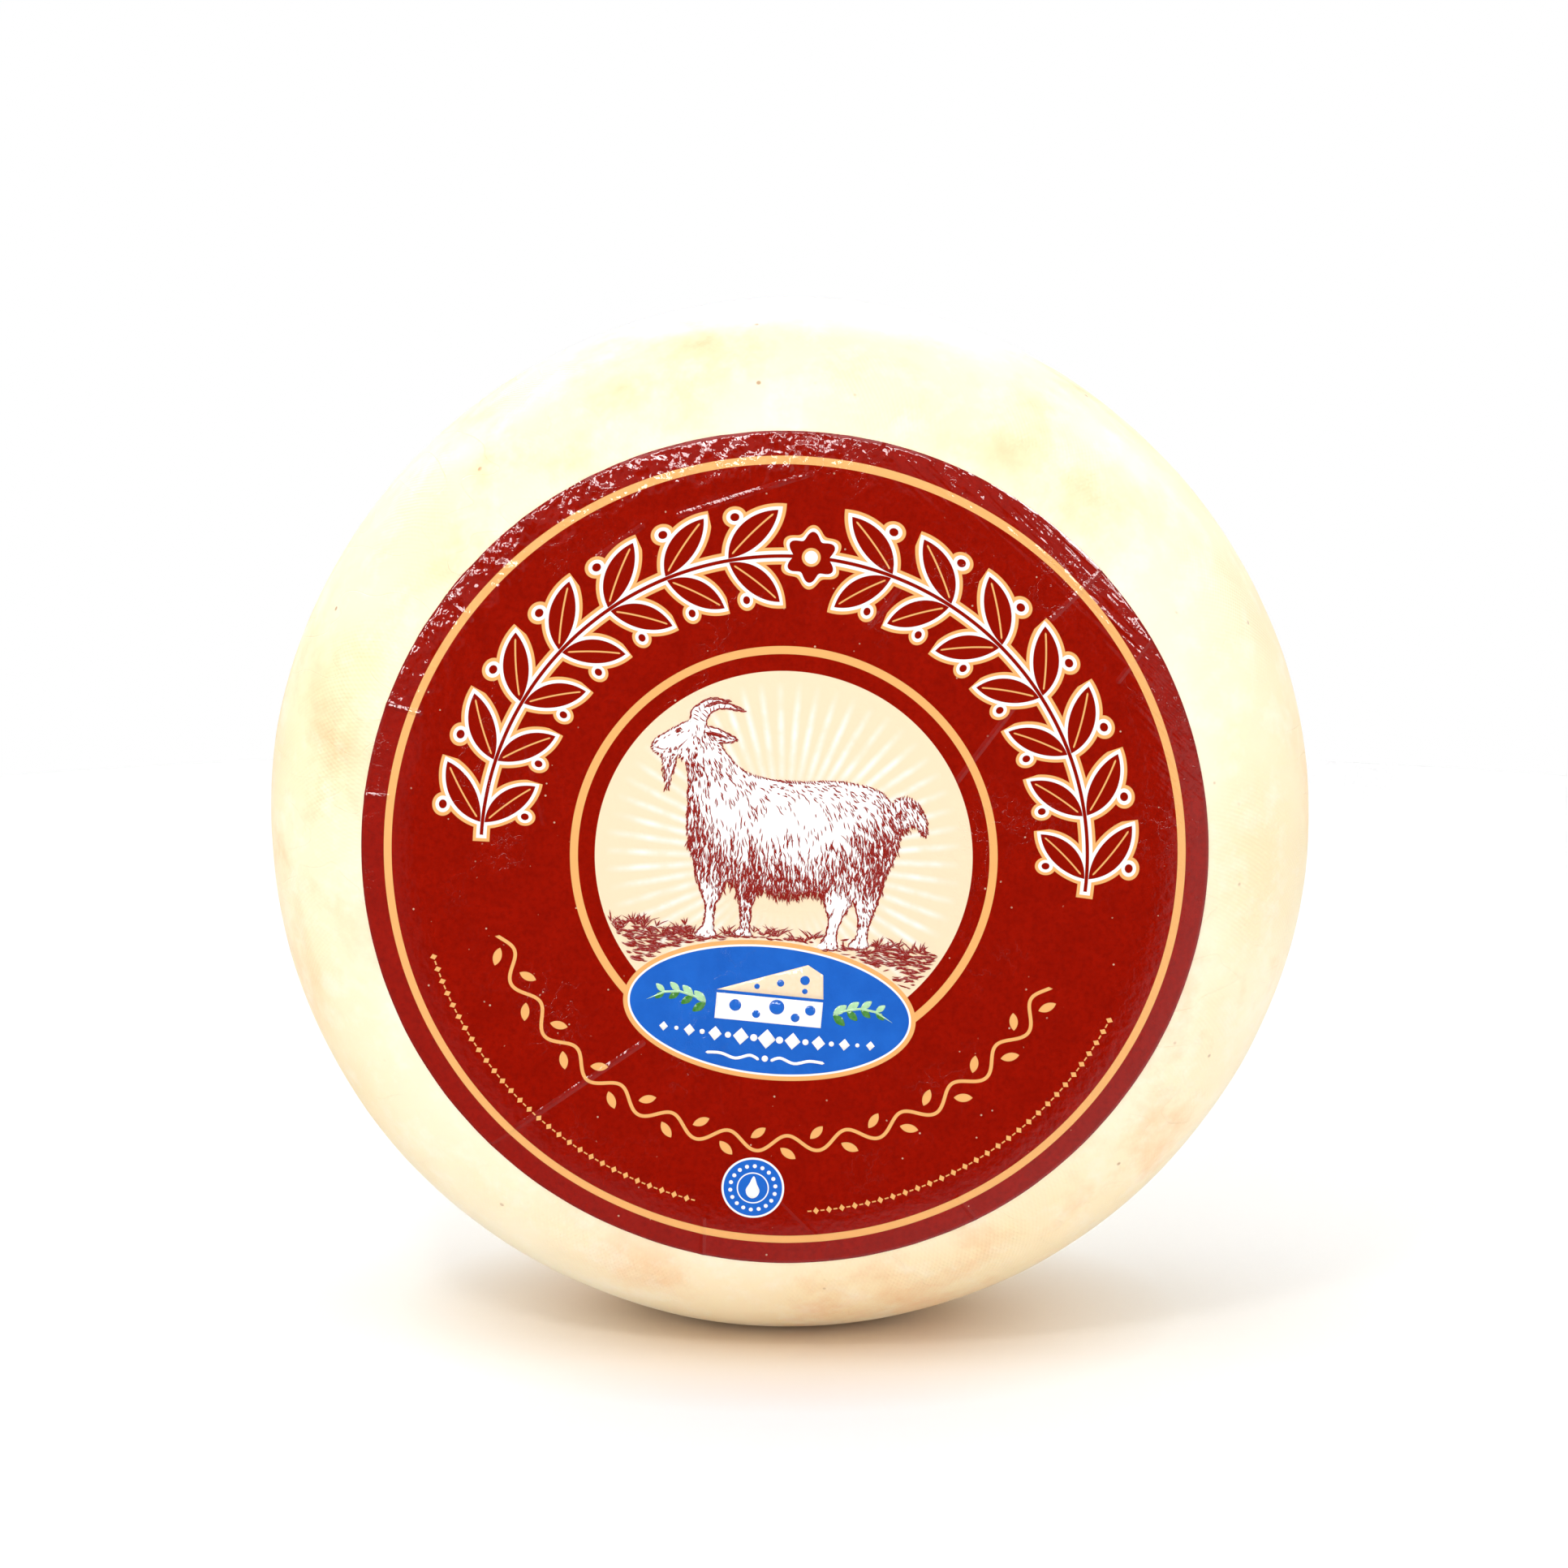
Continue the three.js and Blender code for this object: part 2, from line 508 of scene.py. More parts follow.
# leaves are (along, out, slant in degrees, length, width) from their stalk, berries (along, out, radius)
garland = {
    "radius": 75.3,
    "pitch": 12.2,  # degrees from one pair of leaves to the next
    "start": 11.2,  # degrees from the top to the first pair
    "pairs": 7,
    "leaf": (5.6, 0.5, 139, 16.5, 6.2),
    "berry": (2.6, 10.3, 1.0),
    "stem": 0.45,
    "rosette": 5.4,
    "petals": (6, 0.9),  # how many, and how far they stand out
    "eye": (2.3, 1.6),
    "whiteLine": 0.83,
    "goldLine": 0.8,
}
vine = {
    "radius": 73.4,
    "wave": 2.1,
    "halfWave": 7.6,
    "line": 0.44,
    "reach": 69.0,  # degrees to each side of the foot
    "leaf": (-1.7, -1.1, -38, 4.6, 2.1),
}
beads = {
    "radius": 91.2,
    "pitch": 3.3,
    "from": 8.9,
    "to": 69.0,
}


def garlandInk(tree, paint, place, reach, side):
    middle = garland["radius"]
    pitch, start = math.radians(garland["pitch"]), math.radians(garland["start"])
    steps = maths(tree, "DIVIDE", minus(tree, side, start), pitch)
    pair = maths(tree, "MAXIMUM", maths(tree, "ROUND", steps), 0.0)
    pair = maths(tree, "MINIMUM", pair, garland["pairs"] - 1.0)
    along = times(tree, minus(tree, steps, pair), pitch * middle)
    out = bare(tree, minus(tree, reach, middle))
    leaf, rib = leafDistance(tree, along, out, garland["leaf"])
    berry = roundDistance(tree, along, out, garland["berry"])
    stem = minus(tree, out, garland["stem"])
    shape = firstOf(tree, leaf, berry, stem)
    last = start + pitch * (garland["pairs"] - 0.45)
    past = times(tree, minus(tree, side, last), middle)
    shape = maths(tree, "MAXIMUM", shape, past)

    fromRosette = vectorMaths(tree, "SUBTRACT", place, (0, 0, middle))
    rosetteU, rosetteV = across(tree, fromRosette)
    petalCount, petalHeight = garland["petals"]
    petals = maths(tree, "COSINE", times(tree, maths(tree, "ARCTAN2", rosetteU, rosetteV), petalCount))
    rosetteReach = vectorMaths(tree, "LENGTH", fromRosette)
    flower = minus(tree, rosetteReach, timesPlus(tree, petals, petalHeight, garland["rosette"]))
    shape = firstOf(tree, shape, flower)

    white, gold = garland["whiteLine"], garland["whiteLine"] + garland["goldLine"]
    paint = blend(tree, inside(tree, shape, gold), paint, inks["gold"])
    paint = blend(tree, inside(tree, shape, white), paint, inks["white"])
    paint = blend(tree, inside(tree, shape, 0), paint, inks["deepRed"])
    veins = times(tree, inside(tree, rib, 0.2), inside(tree, leaf, -0.9))
    paint = blend(tree, veins, paint, inks["gold"])
    paint = blend(tree, inside(tree, rosetteReach, garland["eye"][0]), paint, inks["gold"])
    return blend(tree, inside(tree, rosetteReach, garland["eye"][1]), paint, inks["white"])


def footInk(tree, paint, u, v, reach):  # the vine and the fine beads round the lower half
    fromFoot = maths(tree, "ARCTAN2", u, times(tree, v, -1.0))
    side = bare(tree, fromFoot)

    steps = times(tree, fromFoot, vine["radius"] / vine["halfWave"])
    nearest = maths(tree, "ROUND", steps)
    sign = maths(tree, "COSINE", times(tree, nearest, math.pi))
    along = times(tree, minus(tree, steps, nearest), vine["halfWave"])
    out = times(tree, minus(tree, reach, vine["radius"]), sign)
    phase = times(tree, along, math.pi / vine["halfWave"])
    crest = times(tree, maths(tree, "COSINE", phase), vine["wave"])
    slope = times(tree, maths(tree, "SINE", phase), vine["wave"] * math.pi / vine["halfWave"])
    steep = maths(tree, "SQRT", timesPlus(tree, slope, slope, 1.0))
    line = maths(tree, "DIVIDE", bare(tree, minus(tree, out, crest)), steep)
    leaf, _ = leafDistance(tree, along, out, vine["leaf"])
    shape = firstOf(tree, minus(tree, line, vine["line"]), leaf)
    vineShare = times(tree, inside(tree, shape), inside(tree, side, math.radians(vine["reach"]), 0.004))
    paint = blend(tree, vineShare, paint, inks["gold"])

    spaced = times(tree, side, beads["radius"])
    half = beads["pitch"] / 2
    near = maths(tree, "WRAP", spaced, half, -half)
    amid = maths(tree, "WRAP", maths(tree, "ADD", spaced, half), half, -half)
    away = bare(tree, minus(tree, reach, beads["radius"]))
    diamond = minus(tree, timesPlus(tree, away, 0.8, bare(tree, near)), 0.75)
    dash = maths(tree, "MAXIMUM", minus(tree, bare(tree, amid), 0.5),
                 minus(tree, away, 0.17))
    share = times(tree, inside(tree, firstOf(tree, diamond, dash)),
                 ramp(tree, side, math.radians(beads["from"]), math.radians(beads["from"] + 0.1)),
                 inside(tree, side, math.radians(beads["to"]), 0.002))
    return blend(tree, share, paint, inks["gold"])


def labelMaterial():
    material, tree, shader = newMaterial("printed_label")
    place = labelPlace(tree)
    u, v = across(tree, place)
    reach = vectorMaths(tree, "LENGTH", place)
    fromTop = maths(tree, "ARCTAN2", u, v)
    side = bare(tree, fromTop)

    blotches = cloud(tree, place, 0.12, 4, 0.6)
    paint = blend(tree, ramp(tree, blotches, 0.35, 0.65), inks["red"], inks["deepRed"])
    grain = cloud(tree, place, 0.62, 4, 0.65)  # leathery, a fine darker red grain at random
    paint = blend(tree, ramp(tree, grain, 0.44, 0.66, 0, 0.6), paint, inks["darkRed"])
    fleckShare = times(tree, spots(tree, place, 0.3, 0.06, 0.09, 0.5),
                       ramp(tree, cloud(tree, place, 0.21, 2), 0.54, 0.6))
    paint = blend(tree, fleckShare, paint, inks["cream"])
    paint = blend(tree, between(tree, reach, *artwork["outerRing"]), paint, inks["gold"])
    paint = garlandInk(tree, paint, place, reach, side)
    paint = footInk(tree, paint, u, v, reach)
    paint = blend(tree, between(tree, reach, *artwork["innerRing"]), paint, inks["gold"])

    # sun rays behind the goat
    rayTurn = math.tau / artwork["rays"]
    ray = bare(tree, maths(tree, "WRAP", fromTop, rayTurn / 2, -rayTurn / 2))
    rayAside = times(tree, ray, reach)
    uneven = ramp(tree, cloud(tree, place, 0.11, 3, 0.6), 0.36, 0.62, 0.25, 1.0)
    rayShare = times(tree, ramp(tree, rayAside, 0.1, 1.15, 1, 0), ramp(tree, reach, 14, 27),
                    ramp(tree, reach, 44.5, 37), uneven, 0.75)
    cream = blend(tree, rayShare, inks["cream"], inks["white"])
    paint = blend(tree, inside(tree, reach, artwork["medallion"]), paint, cream)

    # oval over the foot of the medallion
    ovalU, ovalV, halfU, halfV = artwork["oval"]
    fromOval = vectorMaths(tree, "SUBTRACT", place, (ovalU, 0, ovalV))
    scaled = vectorMaths(tree, "MULTIPLY", fromOval, (1 / halfU, 0, 1 / halfV))
    scaledTwice = vectorMaths(tree, "MULTIPLY", fromOval, (1 / halfU ** 2, 0, 1 / halfV ** 2))
    k0 = vectorMaths(tree, "LENGTH", scaled)
    k1 = vectorMaths(tree, "LENGTH", scaledTwice)
    ovalDistance = maths(tree, "DIVIDE", times(tree, k0, minus(tree, k0, 1.0)), k1)
    paint = blend(tree, inside(tree, ovalDistance), paint, inks["gold"])
    paint = blend(tree, inside(tree, ovalDistance, -artwork["ovalGold"]), paint, inks["white"])
    paint = blend(tree, inside(tree, ovalDistance, -artwork["ovalGold"] - artwork["ovalWhite"]), paint,
                  blend(tree, ramp(tree, blotches, 0.35, 0.65), inks["blue"], inks["deepBlue"]))

    # small seal with a ring of dots
    sealU, sealV, sealRadius = artwork["seal"]
    fromSeal = vectorMaths(tree, "SUBTRACT", place, (sealU, 0, sealV))
    sealReach = vectorMaths(tree, "LENGTH", fromSeal)
    dotU, dotV = across(tree, fromSeal)
    dotCount, dotReach, dotRadius = artwork["sealDots"]
    halfTurn = math.pi / dotCount
    dotTurn = maths(tree, "WRAP", maths(tree, "ARCTAN2", dotU, dotV), halfTurn, -halfTurn)
    dots = roundDistance(tree, times(tree, dotTurn, dotReach), sealReach, (0, dotReach, dotRadius))
    paint = blend(tree, inside(tree, sealReach, sealRadius), paint, inks["white"])
    paint = blend(tree, inside(tree, sealReach, sealRadius - artwork["sealRim"]), paint, inks["blue"])
    paint = blend(tree, inside(tree, dots), paint, inks["white"])
    paint = blend(tree, between(tree, sealReach, *artwork["sealRing"]), paint, inks["white"])
    feed(tree, shader.inputs["Base Color"], paint)
    finishLabel(tree, shader, place)
    return material


def creaseDistance(tree, place, first, second):  # to a straight crease between two points
    start, end = Vector((first[0], 0, first[1])), Vector((second[0], 0, second[1]))
    along = end - start
    fromStart = vectorMaths(tree, "SUBTRACT", place, start)
    share = times(tree, vectorMaths(tree, "DOT_PRODUCT", fromStart, along), 1 / along.length_squared)
    onCrease = addNode(tree, "ShaderNodeVectorMath", operation="SCALE")
    feed(tree, onCrease.inputs[0], along)
    feed(tree, onCrease.inputs["Scale"], ramp(tree, share, 0, 1))
    return vectorMaths(tree, "LENGTH", vectorMaths(tree, "SUBTRACT", fromStart, onCrease.outputs[0]))


def finishLabel(tree, shader, place):  # the clear glossy varnish that lies over every ink
    shader.inputs["Roughness"].default_value = 0.55
    shader.inputs["Specular IOR Level"].default_value = 0.0
    shader.inputs["Coat Weight"].default_value = 1.0
    shader.inputs["Coat IOR"].default_value = 1.48
    shader.inputs["Coat Roughness"].default_value = 0.06
    reach = vectorMaths(tree, "LENGTH", place)
    u, v = across(tree, place)
    fromTop = maths(tree, "ARCTAN2", u, v)

    # orange peel all over, and a net of fine crinkles here and there
    peel = cloud(tree, place, 0.45, 2)
    wandering = cloud(tree, place, 0.16, 4, 0.62)
    net = ramp(tree, bare(tree, minus(tree, wandering, 0.5)), 0.0, 0.012, 1, 0)
    netShare = ramp(tree, cloud(tree, place, 0.035, 2), 0.48, 0.66, 0.0, 0.5)
    height = timesPlus(tree, net, netShare, times(tree, peel, 2.4))

    # the crumpled stretch of the margin, and slanting streaks past it
    crumpled = times(tree, ramp(tree, fromTop, wrinkles["crushedFrom"], wrinkles["crushedFrom"] + 0.4),
                    ramp(tree, fromTop, wrinkles["crushedTo"], wrinkles["crushedTo"] - 0.25),
                    ramp(tree, reach, 92, 98),
                    ramp(tree, cloud(tree, place, 0.055, 2), 0.4, 0.58, 0.3, 1.25))
    height = timesPlus(tree, cloud(tree, place, 0.36, 1, 0.5), times(tree, crumpled, 21.0), height)
    streaked = times(tree, ramp(tree, fromTop, 0.1, 0.35), ramp(tree, fromTop, 1.5, 1.1),
                     ramp(tree, reach, 93, 99))
    turned = addNode(tree, "ShaderNodeMapping")
    feed(tree, turned.inputs["Vector"], place)
    turned.inputs["Rotation"].default_value = (0, math.radians(-38), 0)
    streaks = cloud(tree, turned.outputs[0], 0.55, 1, 0.5, (0.16, 1, 1))
    height = timesPlus(tree, streaks, times(tree, streaked, 11.0), height)

    # a sharp crease along the top of every fold
    for first, second, size in wrinkles["folds"]:
        sharp = ramp(tree, creaseDistance(tree, place, first, second), 0.0, wrinkles["creaseWidth"], 1, 0)
        height = timesPlus(tree, sharp, size * wrinkles["creaseShare"], height)
    finish = bump(tree, height, 0.09 * mm, 0.8)
    feed(tree, shader.inputs["Normal"], finish)
    feed(tree, shader.inputs["Coat Normal"], finish)


# the printed goat, its meadow and the small pictures: outlines in the label's millimetres

goat = {
    "body": [
        (27, 14), (22, 19), (12, 20.4), (2, 19.4), (-7, 19.6), (-12.5, 21.4), (-17, 25.6), (-20.6, 30.2),
        (-23.6, 32.6), (-26.4, 32.2), (-30.6, 29.6), (-34.2, 26.8), (-34.8, 24.6), (-33, 23.2),
        (-29.6, 23.4), (-26.6, 22.2), (-25.4, 18), (-24.8, 11), (-24.2, 4), (-22, -2.6), (-17.6, -6.4),
        (-10, -7.6), (0, -8.8), (9, -7.8), (15, -8.2), (22, -6), (26.4, 0), (28.4, 8),
    ],
    "farHindLeg": [
        (25, -2), (17.5, -4.5), (18.6, -10), (20.0, -14.6), (19.8, -18.2), (18.2, -20.9), (22.8, -20.9),
        (22.5, -18), (22.9, -14.4), (24.2, -9),
    ],
    "nearHindLeg": [
        (19.5, -4), (9.5, -5.5), (11.2, -10.5), (12.6, -14.8), (12.1, -19), (10.4, -21.9), (15.3, -21.9),
        (14.9, -19.2), (15.7, -14.6), (18, -9.5),
    ],
    "farForeleg": [
        (-5.2, -5), (-11.2, -6), (-10, -12), (-9.2, -16.5), (-9.5, -18.8), (-10.9, -20.6), (-6.2, -20.6),
        (-6.9, -18.4), (-6.7, -13), (-5.6, -8.5),
    ],
    "nearForeleg": [
        (-13.6, -4), (-21.4, -4), (-19.6, -10.5), (-18.2, -14.4), (-18.4, -18.6), (-20.2, -21.6),
        (-15.4, -21.6), (-15.8, -18.8), (-15.9, -14), (-14.2, -9),
    ],
    "tail": [
        (26, 16.6), (30, 18), (33.6, 14.6), (34.6, 9), (31.4, 11.2), (29.4, 10), (27, 10.8),
    ],
    "ear": [
        (-22.6, 30.8), (-18.4, 30.6), (-14.2, 28.4), (-18.2, 27.2), (-22.6, 28.4),
    ],
    "beard": [
        (-32.2, 23.8), (-31.4, 19.4), (-30.2, 14.6), (-29.4, 18.8), (-28.6, 23.4),
    ],
}
horns = [  # points along each horn with half its width there
    [(-24.9, 31.4, 1.1), (-24.7, 34.6, 1.0), (-21.6, 37.4, 0.65), (-17.0, 37.9, 0.12)],
    [(-23.4, 31.8, 1.3), (-22.4, 34.6, 1.15), (-18.6, 36.6, 0.75), (-13.2, 35.8, 0.12)],
]
# where the coat is shown: (u, v, lie of the hair, its length, how dark)
coatGuides = [
    (25, 14, (0.5, -0.85), 2.4, 0.8), (26.5, 6, (0.1, -1), 2.8, 1.0), (24, -3, (-0.1, -1), 2.8, 1.0),
    (20, 6, (0.2, -1), 3.0, 0.75), (18, 16.5, (0.8, -0.5), 1.8, 0.35), (13, 10, (0.35, -0.9), 2.6, 0.35),
    (15, 0, (0.1, -1), 3.0, 0.7), (8, -5.5, (0.1, -1), 3.2, 1.0), (8, 19, (0.9, -0.3), 1.4, 0.5),
    (6, 11, (0.3, -0.9), 2.0, 0.12), (4, 3, (0.1, -1), 3.0, 0.25), (0, -6.5, (0.1, -1), 3.4, 1.0),
    (-3, 18.5, (0.9, -0.3), 1.4, 0.45), (-4, 9, (0.2, -0.9), 2.2, 0.08), (-9, 1, (0.1, -1), 3.2, 0.7),
    (-8, -5.5, (0, -1), 3.4, 1.1), (-14, 19, (0.6, -0.8), 2.0, 0.4), (-15, 9, (0.15, -1), 2.6, 0.16),
    (-14, -3, (0, -1), 3.2, 0.85), (-20, -1, (-0.1, -1), 3.2, 0.75), (-19, 23, (0.45, -0.9), 2.0, 0.5),
    (-20.5, 14, (0.2, -1), 2.6, 0.3), (-24, 12, (0.05, -1), 3.0, 1.0), (-23.5, 5, (0, -1), 3.0, 1.0),
    (-25, 21, (0.3, -0.9), 2.2, 0.9), (-24, 28, (0.2, -1), 1.3, 0.5), (-28, 29, (-0.8, -0.6), 0.9, 0.22),
    (-32, 26.5, (-0.8, -0.6), 0.8, 0.2), (-30, 24.3, (-0.5, -0.9), 0.9, 0.75),
    (-34, 24.4, (-0.4, -0.9), 0.6, 0.5), (-18, 29, (0.95, -0.25), 1.2, 0.9),
    (-30.3, 20, (0, -1), 2.0, 0.8), (31, 14, (0.5, -0.85), 1.8, 0.8),
    (21.5, -12, (0.35, -0.95), 1.5, 0.8), (21, -18, (0, -1), 1.0, 0.5),
    (14.5, -11, (-0.1, -1), 1.5, 0.4), (13.6, -18, (0, -1), 1.0, 0.25), (-8, -13, (0, -1), 1.5, 1.0),
    (-8, -18.5, (0, -1), 1.0, 0.9), (-17.8, -11, (0.1, -1), 1.5, 0.45), (-17, -18, (0, -1), 1.0, 0.3),
]
picture = {
    "lift": 0.05 * mm,  # of the ink's face over the paper
    "thickness": 0.07 * mm,
    "cell": 3.0,  # the largest part of a filled shape that stays flat
    "hairs": 3900,
    "hairWidth": 0.25,
    "meadowTop": -19.4,
    "meadowStrokes": 760,
    "tufts": 70,
    "seed": 5,
}


def smoothLoop(points, steps=5, closed=True):  # a smooth line through a few points
    loop = []
    count = len(points)
    for i in range(count if closed else count - 1):
        places = [(i + k) % count if closed else min(max(i + k, 0), count - 1) for k in (-1, 0, 1, 2)]
        before, first, second, after = (Vector(points[k]) for k in places)
        for step in range(steps):
            t = step / steps
            loop.append(0.5 * (2 * first + (second - before) * t
                               + (2 * before - 5 * first + 4 * second - after) * t * t
                               + (3 * first - before - 3 * second + after) * t ** 3))
    return loop if closed else loop + [Vector(points[-1])]


def isInside(point, loop):
    crossings = False
    previous = loop[-1]
    for corner in loop:
        if (corner.y > point.y) != (previous.y > point.y):
            slope = (previous.x - corner.x) / (previous.y - corner.y)
            if point.x < corner.x + slope * (point.y - corner.y):
                crossings = not crossings
        previous = corner
    return crossings


def inOval(point, grown=0.0):
    ovalU, ovalV, halfU, halfV = artwork["oval"]
    return ((point.x - ovalU) / (halfU + grown)) ** 2 + ((point.y - ovalV) / (halfV + grown)) ** 2 < 1


def fillLoop(bm, loop, ink, layer):
    face = bm.faces.new([bm.verts.new((p.x, p.y, layer)) for p in loop])
    face.normal_update()
    if face.normal.z < 0:
        face.normal_flip()
    face.material_index = ink
    return face


def gridCuts(bm):  # parts large ink shapes into cells small enough to follow the paper
    bmesh.ops.triangulate(bm, faces=bm.faces[:], ngon_method="EAR_CLIP")
    cell = picture["cell"]
    count = int(48 / cell)
    for axis in (Vector((1, 0, 0)), Vector((0, 1, 0))):
        for i in range(-2 * count, count + 1):
            bmesh.ops.bisect_plane(bm, geom=bm.verts[:] + bm.edges[:] + bm.faces[:], dist=1e-4,
                                   plane_co=axis * cell * i, plane_no=axis)


def brushStroke(bm, points, width, ink, layer):  # a line that tapers at both ends
    faces = []
    previous = [bm.verts.new((points[0].x, points[0].y, layer))]
    for i in range(1, len(points)):
        if i == len(points) - 1:
            current = [bm.verts.new((points[i].x, points[i].y, layer))]
        else:
            aside = (points[i + 1] - points[i - 1]).orthogonal().normalized() * width / 2
            current = [bm.verts.new((p.x, p.y, layer)) for p in (points[i] + aside, points[i] - aside)]
        faces.append(bm.faces.new(previous[:1] + previous[1:] + current[::-1]))
        previous = current
    for face in faces:
        face.normal_update()
        if face.normal.z < 0:
            face.normal_flip()
        face.material_index = ink


def hairAt(place):  # (direction, length, darkness) of the coat, from the guides round about
    lie, length, dark, weights = Vector((0, 0)), 0, 0, 0
    for u, v, direction, guideLength, guideDark in coatGuides:
        weight = 1 / (0.6 + (place - Vector((u, v))).length_squared) ** 1.5
        lie += Vector(direction) * weight
        length += guideLength * weight
        dark += guideDark * weight
        weights += weight
    return lie.normalized(), length / weights, dark / weights


def makePicture():
    rng = random.Random(picture["seed"])
    white, red, blue, green, pale, cream = range(6)
    bm = bmesh.new()
    loops = {name: smoothLoop(points) for name, points in goat.items()}
    behind = ("farHindLeg", "farForeleg", "tail")
    for name, loop in loops.items():
        fillLoop(bm, loop, white, 0 if name in behind else 0.01)
    for number, horn in enumerate(horns):
        left = [Vector((u, v)) for u, v, _ in horn]
        edge = []
        for i, (u, v, half) in enumerate(horn):
            ahead = left[min(i + 1, len(left) - 1)] - left[max(i - 1, 0)]
            edge.append(ahead.orthogonal().normalized() * half)
        outline = [p + e for p, e in zip(left, edge)] + [p - e for p, e in zip(left[::-1], edge[::-1])]
        loop = smoothLoop([tuple(p) for p in outline], 4)
        loops["horn" + str(number)] = loop
        fillLoop(bm, loop, white, 0.012 + 0.004 * number)
    ovalPictures(bm, white, blue, green, pale, cream)
    gridCuts(bm)

    def hair(start, direction, length, width, ink=red):
        bend = direction.orthogonal() * rng.uniform(-0.16, 0.16) * length
        points = [start, start + direction * length * 0.35 + bend * 0.8,
                  start + direction * length * 0.7 + bend, start + direction * length]
        brushStroke(bm, points, width, ink, rng.uniform(0.03, 0.055))

    # outlines: short hairs along every edge
    width = picture["hairWidth"]
    for name, loop in loops.items():
        for i, corner in enumerate(loop):
            following = loop[(i + 1) % len(loop)]
            side = following - corner
            count = max(1, round(side.length / 0.5))
            for step in range(count):
                place = corner + side * (step + rng.random()) / count
                if any(other != name and isInside(place, loops[other]) for other in loops):
                    continue
                lie, length, dark = hairAt(place)
                if name.startswith("horn") or name == "ear" or "eg" in name:
                    direction = side.normalized()
                    length = side.length * 1.3 + 0.4
                else:
                    direction = (lie + side.normalized() * rng.choice((-0.4, 0.4)) * 1.4).normalized()
                    length = 0.9 + 0.35 * length * rng.random()
                if not inOval(place + direction * length, 0.4):
                    start = place - direction * length * 0.4
                    hair(start, direction, length, width * rng.uniform(0.8, 1.4))

    # the coat itself
    coated = [loop for name, loop in loops.items() if not name.startswith("horn")]
    low = Vector((-35, -22))
    high = Vector((35, 38.5))
    for _ in range(picture["hairs"] * 3):
        place = Vector((rng.uniform(low.x, high.x), rng.uniform(low.y, high.y)))
        chance = rng.random()
        if inOval(place, 0.6) or not any(isInside(place, loop) for loop in coated):
            continue
        lie, length, dark = hairAt(place)
        if chance > 1.05 * dark ** 1.7:
            continue
        turn = rng.gauss(0, 0.16)
        direction = Vector((lie.x * math.cos(turn) - lie.y * math.sin(turn),
                            lie.x * math.sin(turn) + lie.y * math.cos(turn)))
        length *= rng.uniform(0.55, 1.15)
        if not inOval(place + direction * length, 0.4):
            hair(place, direction, length, width * rng.uniform(0.7, 1.3) * (0.75 + 0.5 * dark))
    print("goat drawn")

    # horn rings, eye, nostril and mouth
    for horn in horns:
        for i in range(1, 10):
            t = i / 10 * (len(horn) - 1)
            k = min(int(t), len(horn) - 2)
            u, v, half = (a + (b - a) * (t - k) for a, b in zip(horn[k], horn[k + 1]))
            ahead = (Vector(horn[k + 1][:2]) - Vector(horn[k][:2])).normalized()
            aside = ahead.orthogonal()
            hair(Vector((u, v)) - aside * half * 0.9, aside + ahead * 0.3, half * 1.7, width)
    for points, thick in (([(-27.6, 29.6), (-28.3, 30.05), (-29.1, 29.6), (-29.6, 29.0)], 0.55),
                          ([(-27.9, 29.3), (-28.5, 29.45), (-29.0, 29.1), (-29.3, 28.8)], 0.7),
                          ([(-33.3, 26.5), (-33.8, 26.3), (-34.2, 25.8), (-34.3, 25.3)], 0.42),
                          ([(-31.2, 24.5), (-32.4, 24.4), (-33.6, 24.7), (-34.6, 24.9)], 0.26),
                          ([(-26.0, 27.8), (-27.4, 26.2), (-28.4, 24.9), (-28.6, 23.8)], 0.24),
                          ([(-16.2, 28.7), (-18.4, 29.2), (-20.6, 29.5), (-22.4, 29.6)], 0.9)):
        brushStroke(bm, [Vector(p) for p in points], thick, red, 0.058)
    drawMeadow(bm, rng, loops, red)
    return finishPicture(bm)


def drawMeadow(bm, rng, loops, ink):
    legs = [loop for name, loop in loops.items() if "eg" in name]
    limit = artwork["medallion"] - 0.6
    strokeSteps = (0, 0.33, 0.67, 1)

    def topAt(u):
        return picture["meadowTop"] + 1.3 * noise.noise(Vector((u / 9, 0.4, 2.2))) - 0.02 * abs(u - 5)

    def allowed(points):
        return not any(p.length > limit or inOval(p, 0.3) or any(isInside(p, leg) for leg in legs)
                       for p in points)

    drawn = 0
    while drawn < picture["meadowStrokes"]:
        start = Vector((rng.uniform(-45, 45), rng.uniform(-44, -18)))
        top = topAt(start.x)
        dark = 0.55 + 0.9 * noise.noise(Vector((start.x / 5, start.y / 2.4, 7.7)))
        if start.y > top or start.length > limit or inOval(start, 0.3):
            continue
        drawn += 1
        if rng.random() > dark + 0.25:
            continue
        length = rng.uniform(1.2, 3.6)
        rise = rng.gauss(0, 0.18) - 0.04
        bend = rng.uniform(-0.35, 0.35)
        points = [start + Vector((length * t, length * (rise * t + bend * t * (1 - t)))) for t in strokeSteps]
        if allowed(points):
            brushStroke(bm, points, rng.uniform(0.25, 0.6), ink, rng.uniform(0.03, 0.055))
    for _ in range(picture["tufts"]):
        foot = Vector((rng.uniform(-43, 43), 0))
        foot.y = topAt(foot.x) - rng.uniform(-0.3, 3.5)
        for _ in range(rng.randint(4, 9)):
            lean = rng.uniform(-0.9, 0.9)
            length = rng.uniform(1.2, 3.4)
            points = [foot + length * Vector((lean * t + lean * 0.5 * t * t, t * (1 - 0.25 * t * abs(lean))))
                      for t in strokeSteps]
            if allowed(points):
                brushStroke(bm, points, rng.uniform(0.2, 0.38), ink, rng.uniform(0.03, 0.055))


